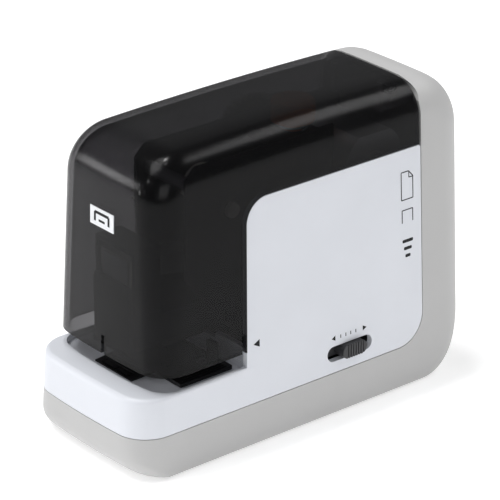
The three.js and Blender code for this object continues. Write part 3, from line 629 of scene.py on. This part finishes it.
def white_housing():
    """Side panels and nose deck, in one piece."""
    housing = to_object(form_mesh(BODY, 0), "white_housing_skin")
    cavity = housing_cavity()
    slider_slot = rounded(7.4, 26.5, 19.0, 24.3, 2.6)
    combine(housing, [
        ("INTERSECT", prism(WHITE_REGION, "x", -60, 60)),
        ("DIFFERENCE", cavity),
        ("DIFFERENCE", prism(deck_recess(), "z", RECESS_Z, 40)),
        ("DIFFERENCE", prism(slider_slot, "x", 20, 40)),
        ("DIFFERENCE", block(*STOP_OPENING, -24.7, DECK_UNDER - 1, DECK_Z + 1)),
        ("DIFFERENCE", block(*SENSOR_OPENING, -24.7, DECK_UNDER - 1, DECK_Z + 1)),
        ("DIFFERENCE", block(-10.5, 10.5, -26, -21, 31.5, THROAT_TOP)),
    ])
    round_shoulder(housing, 1.9, 0.9)
    soften(housing, 0.35)
    finish_piece(housing, WHITE, "base", "white_housing")


# ---------------------------------------------------------------- smoke cover
def cover_details(side):
    """One side's slit, hinge lug with its bore, and the pocket that clears the tower's bracket."""
    lug = arc(HINGE_Y, HINGE_Z, 2, 180, 360, 16)
    lug += [(HINGE_Y + 2, HINGE_Z + 1.9), (HINGE_Y - 2, HINGE_Z + 2.1)]
    bore = circle(HINGE_Y, HINGE_Z, HINGE_BORE, 24)
    x0, x1 = span(side, 13.3, 15.5)
    pocket = span(side, 9.6, 13.1)
    return [
        ("DIFFERENCE", block(*span(side, 22, 34), -28.05, -26.55, 20, 40)),
        ("UNION", prism(lug, "x", x0, x1)),
        ("DIFFERENCE", prism(bore, "x", x0 - 1, x1 + 1)),
        ("DIFFERENCE", block(*pocket, HINGE_Y - 2.6, HINGE_Y + 5, HINGE_Z - 2, HINGE_Z + 2.15)),
    ]


def smoke_cover():
    cover = to_object(form_mesh(COVER, 0), "smoke_cover_shell")
    front_slit = block(-0.75, 0.75, -70, -56, 20, 40)
    steps = [
        ("INTERSECT", prism(COVER_REGION, "x", -60, 60)),
        ("DIFFERENCE", form_mesh(COVER, COVER_WALL)),
        ("DIFFERENCE", front_slit),
    ]
    for side in (-1, 1):
        steps += cover_details(side)
    combine(cover, steps)
    soften(cover, 0.3)
    finish_piece(cover, SMOKE, "cover", "smoke_cover")


# ---------------------------------------------------------------- printed marks, as thin raised ink
def strip(y0, z0, y1, z1, width):
    """Outline of a straight line of a given width, in a plane."""
    run, rise = y1 - y0, z1 - z0
    length = math.hypot(run, rise)
    a, b = -rise / length * width / 2, run / length * width / 2
    return [(y0 + a, z0 + b), (y0 - a, z0 - b), (y1 - a, z1 - b), (y1 + a, z1 + b)]


def path(points, width, closed=False):
    """Outlines of a line drawn through points."""
    ends = points + points[:1] if closed else points
    return [strip(*one, *other, width) for one, other in zip(ends, ends[1:])]


def printed(name, outlines, axis, start, form, proud, body, material, *nodes):
    """Thin flat marks laid on a form's surface, standing a little proud of it."""
    across = "xyz".index(axis)
    bm = bmesh.new()
    for outline in outlines:
        places = np.insert(np.array(outline, dtype=float), across, start, axis=1)
        rings = []
        for inset in (0.25, -proud):
            for _ in range(12):
                slope = slope_along(places, form, inset, across, 0.01)
                places[:, across] -= hull(places, form, inset) / slope
            rings.append([bm.verts.new(place * MM) for place in places])
        join_rings(bm, *rings)
    bmesh.ops.recalc_face_normals(bm, faces=bm.faces)
    obj = to_object(bm, name)
    obj.data.shade_flat()
    finish_piece(obj, material, body, *nodes)


def slider_scale():
    """Arrow scale over the depth slider, and the wedge beside the paper throat."""
    marks = [
        [(9.3, 27.1), (10.9, 26.2), (10.9, 28.0)],
        [(24.3, 27.1), (22.7, 28.0), (22.7, 26.2)],
    ]
    for y in (13.2, 15.4, 17.5, 19.7):
        marks.append([(y - 0.17, 26.5), (y + 0.17, 26.5), (y + 0.17, 27.7), (y - 0.17, 27.7)])
    marks.append([(-23.1, 35.2), (-20.6, 33.9), (-20.6, 36.5)])
    return marks


def pictograms():
    """Plain line pictograms: a sheet with a folded corner, a staple, a stack of sheets."""
    sheet = [(40.4, 66.6), (45.4, 66.6), (45.4, 74.2), (43.6, 76.2), (40.4, 76.2)]
    marks = path(sheet, 0.36, closed=True)
    marks += path([(45.2, 74.0), (43.7, 74.0), (43.7, 76.0)], 0.3)
    marks += path([(40.6, 58.6), (40.6, 63.0), (45.2, 63.0), (45.2, 58.6)], 0.36)
    for row, half in enumerate((1.1, 1.7, 2.3)):
        z = 46.4 + row * 2.6
        marks.append(rounded(42.9 - half, 42.9 + half, z, z + 1.1, 0.3, 2))
    return marks


def label():
    """A plain plate on the front of the cover, with a staple pictogram."""
    left, right, bottom, top = -6.4, 5.6, 76.5, 82.6
    plate = [(left, bottom), (right, bottom), (right, top), (left, top)]
    printed("label_face", [plate], "y", -60, COVER, 0.12, "cover", PAPER, "label_plate")
    staple = path([(-3.9, 78.0), (-3.9, 81.0), (3.1, 81.0), (3.1, 78.0)], 0.9)
    staple += path([(-1.9, 78.6), (1.1, 78.6)], 0.7)
    printed("label_pictogram", staple, "y", -60, COVER, 0.16, "cover", INK)


# ---------------------------------------------------------------- clincher table
def clincher_table():
    """Black table in the throat, with a sloping front tongue and grooves."""
    tongue = [(-57.7, 26.2), (-47, 26.2), (-47, TABLE_TOP), (-48.3, TABLE_TOP), (-57.7, 26.62)]
    table = to_object(prism(tongue, "x", -9.5, 9.5), "clincher_plate")
    steps = [
        ("UNION", prism(rounded(-23, 23, -48.5, -27.5, 0.5, 3), "z", 26.2, TABLE_TOP)),
        ("DIFFERENCE", block(-6.9, 6.9, -57, -54.4, 20, 30)),
        ("DIFFERENCE", block(*STOP_OPENING, -20, 20, 30)),
        ("DIFFERENCE", block(*SENSOR_OPENING, -20, 20, 30)),
    ]
    groove = 0.22
    for y in (-53.4, -52.2, -51.0, -49.8):
        steps.append(("DIFFERENCE", block(-8.6, 8.6, y - groove, y + groove, 26.75, 30)))
    for side in (-1, 1):
        for x in (18.6, 19.8, 21.0, 22.2):
            x0, x1 = span(side, x - groove, x + groove)
            steps.append(("DIFFERENCE", block(x0, x1, -46.5, -29.5, TABLE_TOP - 0.3, 30)))
    combine(table, steps)
    soften(table, 0.12)
    finish_piece(table, TABLE, "base", "clincher_table")


# ---------------------------------------------------------------- depth slider
def depth_slider():
    """Side knob with grip grooves, its carrier strip, and the paper stop."""
    bottom, top = 19.3, 24.0
    knob = to_object(prism(rounded(12.6, 22.9, bottom, top, 2.3), "x", 25.5, 30.5), "depth_knob")
    steps = [
        ("UNION", block(24.3, 25.9, -31.5, 24, 19.5, 23.6)),
        ("UNION", block(12, 25, -29.4, -27.6, 19.5, 23.5)),
        ("UNION", block(12, 16, -29.4, -27.6, 19.5, 33)),
    ]
    for groove in range(7):
        y = 14.9 + groove * 1.07
        steps.append(("DIFFERENCE", block(30.15, 31, y - 0.2, y + 0.2, bottom - 1, top + 1)))
    combine(knob, steps)
    soften(knob, 0.35, 3)
    finish_piece(knob, KNOB, "depth_slider", "depth_slider")


# ---------------------------------------------------------------- turned pieces
STEPS_ROUND = 64
TURNS = {"y": Matrix.Rotation(-math.pi / 2, 4, "X"), "z": Matrix.Identity(4)}


def ring(bm, radius, height):
    """One ring of points of a turned body, or a single point on its axis."""
    if radius < 1e-6:
        return [bm.verts.new((0, 0, height * MM))]
    angles = [2 * math.pi * i / STEPS_ROUND for i in range(STEPS_ROUND)]
    reach = radius * MM
    return [bm.verts.new((reach * math.cos(t), reach * math.sin(t), height * MM)) for t in angles]


def turned(name, profile, centre, axis, edge, material, body, *nodes):
    """A closed body of revolution from (radius, height) pairs, along an axis through a point."""
    bm = bmesh.new()
    rings = [ring(bm, radius, height) for radius, height in profile]
    for one, other in zip(rings, rings[1:]):
        for i in range(STEPS_ROUND):
            j = (i + 1) % STEPS_ROUND
            pairs = ((one, i), (one, j), (other, j), (other, i))
            corners = list(dict.fromkeys(points[n % len(points)] for points, n in pairs))
            if len(corners) > 2:
                bm.faces.new(corners)
    place = Matrix.Translation(Vector(centre) * MM) @ TURNS[axis]
    bmesh.ops.transform(bm, matrix=place, verts=bm.verts)
    bmesh.ops.recalc_face_normals(bm, faces=bm.faces)
    obj = to_object(bm, name)
    soften(obj, edge)
    finish_piece(obj, material, body, *nodes)


def release_button():
    """Orange cap on a stem, under the top of the cover."""
    top = BUTTON_TOP
    profile = [
        (0, 83.4), (3.9, 83.4), (3.9, 84.8), (3, 84.9), (3, 93.2), (7.3, 93.2), (7.3, top - 1.4),
        (7.1, top - 0.7), (6.6, top - 0.2), (6.0, top), (3, top - 0.1), (0, top - 0.15),
    ]
    centre = (0, 16.5, 0)
    turned("release_button_cap", profile, centre, "z", 0.12, ORANGE, "release_button", "release_button")


def round_feet():
    profile = [
        (0, 1.6), (3.8, 1.6), (3.8, 0.5), (3.4, 0.1), (3.0, 0), (1.2, 0), (1.0, 0.15), (0, 0.15),
    ]
    for number, side in ((1, -1), (2, 1)):
        centre = (side * FOOT_X, FOOT_Y, 0)
        turned(f"round_foot_{number}", profile, centre, "z", 0.08, RUBBER, "base", f"foot_{number}")


def long_feet():
    for number, side in ((3, -1), (4, 1)):
        outline = rounded(*span(side, 24.6, 27.6), 26, 46, 1.45, 6)
        foot = to_object(prism(outline, "z", 0, 1.6), f"long_foot_{number}")
        soften(foot, 0.35, 3)
        finish_piece(foot, RUBBER, "base", f"foot_{number}")


def dc_jack():
    """Barrel of the inlet in the rear, with its centre pin."""
    barrel = [
        (0, 60.5), (2.9, 60.5), (2.9, 69.6), (3.2, 70.15), (4.3, 70.2), (4.5, 70.0), (4.5, 59.5),
        (4.4, 57.5), (0, 57.5),
    ]
    pin = [(0, 60.2), (1, 60.2), (1, 68.6), (0.6, 69), (0, 69)]
    centre = (0, 0, JACK_Z)
    turned("jack_barrel", barrel, centre, "y", 0.06, BLACK, "base", "dc_jack")
    turned("jack_pin", pin, centre, "y", 0.05, STEEL, "base")


# ---------------------------------------------------------------- battery door
def battery_door():
    """Door under the base, with a rounded hinge edge, a catch, a finger pull and grip grooves."""
    panel = arc(21.9, 2, 1.0, 90, 270, 10) + [(DOOR_FRONT, DOOR_BOTTOM), (DOOR_FRONT, 3)]
    catch = [(49.8, 2.8), (51.3, 2.8), (51.3, 5.6), (51, 6), (49.8, 6)]
    door = to_object(prism(panel, "x", -23, 23), "battery_door_panel")
    steps = [
        ("UNION", prism(catch, "x", -6, 6)),
        ("DIFFERENCE", prism(rounded(-8, 8, 44.6, 48.6, 1.9, 8), "z", 0, 1.9)),
    ]
    for groove in range(5):
        y = 31.0 + groove * 2.0
        steps.append(("DIFFERENCE", block(-9, 9, y - 0.3, y + 0.3, 0, DOOR_BOTTOM + 0.35)))
    combine(door, steps)
    soften(door, 0.25)
    finish_piece(door, GREY, "battery_door", "battery_door")


# ---------------------------------------------------------------- CAD pieces shown as they are
CAD_LOOKS = [
    (STEEL, [
        "cover_hinge_pin_left", "cover_hinge_pin_right", "motor", "button_spring", "staple_strip",
        "pusher_spring", "arm_roller", "driver_blade",
    ]),
    (BLACKENED, [
        "clinch_wing_left", "clinch_wing_right", "frame_plate_left", "frame_plate_right",
        "driver_housing", "magazine_channel",
    ]),
    (DARK_STEEL, [
        "base_screw_1", "base_screw_2", "base_screw_3", "base_screw_4", "frame_spacer_front",
        "frame_spacer_low", "pivot_shaft", "gear_axle_a", "gear_axle_b", "drive_arm",
    ]),
    (BRASS, ["motor_pinion", "battery_contact_top", "battery_contact_door"]),
    (NYLON, [
        "sensor_lever", "reduction_gear_a", "reduction_gear_b", "cam_gear", "driver_carrier",
        "staple_pusher",
    ]),
    (BLACK, ["battery_holder", "paper_switch", "button_bridge", "magazine_front", "staple_rail"]),
    (GREEN, ["control_board"]),
    (SLEEVE, ["capacitor"] + [f"battery_cell_{i}" for i in range(1, 7)]),
]


def dress_cad_pieces():
    for material, nodes in CAD_LOOKS:
        for node in nodes:
            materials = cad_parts[node].data.materials
            materials.clear()
            materials.append(material)


# ---------------------------------------------------------------- floor, camera and light
def studio_floor():
    """A bright floor that glows a little, so it shows as white."""
    bm = bmesh.new()
    bmesh.ops.create_grid(bm, x_segments=2, y_segments=2, size=3.0)
    obj = to_object(bm, "floor")
    material = plastic("floor", (0.95, 0.95, 0.95), 0.85, grain=0.0, shift=0.004, specular=0.1)
    glow = material.node_tree.nodes["Principled BSDF"].inputs
    glow["Emission Color"].default_value = (1, 1, 1, 1)
    glow["Emission Strength"].default_value = 0.36
    obj.data.materials.append(material)


def facing(place, aim):
    """Rotation of a camera or light at a place that looks towards a point."""
    return (aim - place).to_track_quat("-Z", "Y").to_euler()


def main_camera():
    camera = bpy.data.objects.new("camera", bpy.data.cameras.new("camera"))
    bpy.context.scene.collection.objects.link(camera)
    camera.location = (0.6816, -0.5639, 0.4558)
    camera.rotation_euler = facing(camera.location, Vector((-0.0010, -0.0006, 0.0514)))
    camera.data.sensor_width = 36
    camera.data.lens = 215.9
    camera.data.clip_start = 0.01
    bpy.context.scene.camera = camera
    bpy.context.scene.view_settings.view_transform = "Standard"


def area_light(name, toward, distance, size, radiance):
    """A soft panel at a distance from the middle of the object, facing it."""
    aim = Vector((0, 0, 0.06))
    place = aim + Vector(toward).normalized() * distance
    data = bpy.data.lights.new(name, "AREA")
    data.shape = "RECTANGLE"
    data.size, data.size_y = size
    data.energy = radiance * math.pi * size[0] * size[1]
    light = bpy.data.objects.new(name, data)
    light.location = place
    light.rotation_euler = facing(place, aim)
    bpy.context.scene.collection.objects.link(light)


def lights():
    area_light("front_strip", (-0.70, -0.68, 0.19), 1.1, (0.28, 0.20), 9.5)
    area_light("low_lamp", (-0.47, -0.86, 0.13), 1.2, (0.05, 0.06), 80.0)
    area_light("key", (-0.12, -0.80, 0.60), 1.25, (0.045, 0.035), 100.0)
    area_light("front_top", (-0.25, -0.32, 0.92), 1.3, (0.8, 0.6), 5.4)
    area_light("top_lamp", (-0.12, 0.0, 1.0), 1.2, (0.14, 0.08), 90.0)
    area_light("side_fill", (0.85, -0.50, 0.40), 1.4, (0.7, 0.6), 2.0)
    area_light("rear_top", (0.20, 0.66, 0.75), 1.2, (0.5, 0.45), 4.6)


def studio_world():
    world = bpy.data.worlds.new("studio")
    bpy.context.scene.world = world
    world.use_nodes = True
    background = world.node_tree.nodes["Background"].inputs
    background["Color"].default_value = (0.985, 0.99, 1, 1)
    background["Strength"].default_value = 0.25


grey_shell()
white_housing()
smoke_cover()
printed("side_marks", slider_scale() + pictograms(), "x", 29, BODY, 0.03, "base", INK)
label()
clincher_table()
depth_slider()
release_button()
round_feet()
dc_jack()
long_feet()
battery_door()
dress_cad_pieces()
studio_floor()
main_camera()
lights()
studio_world()
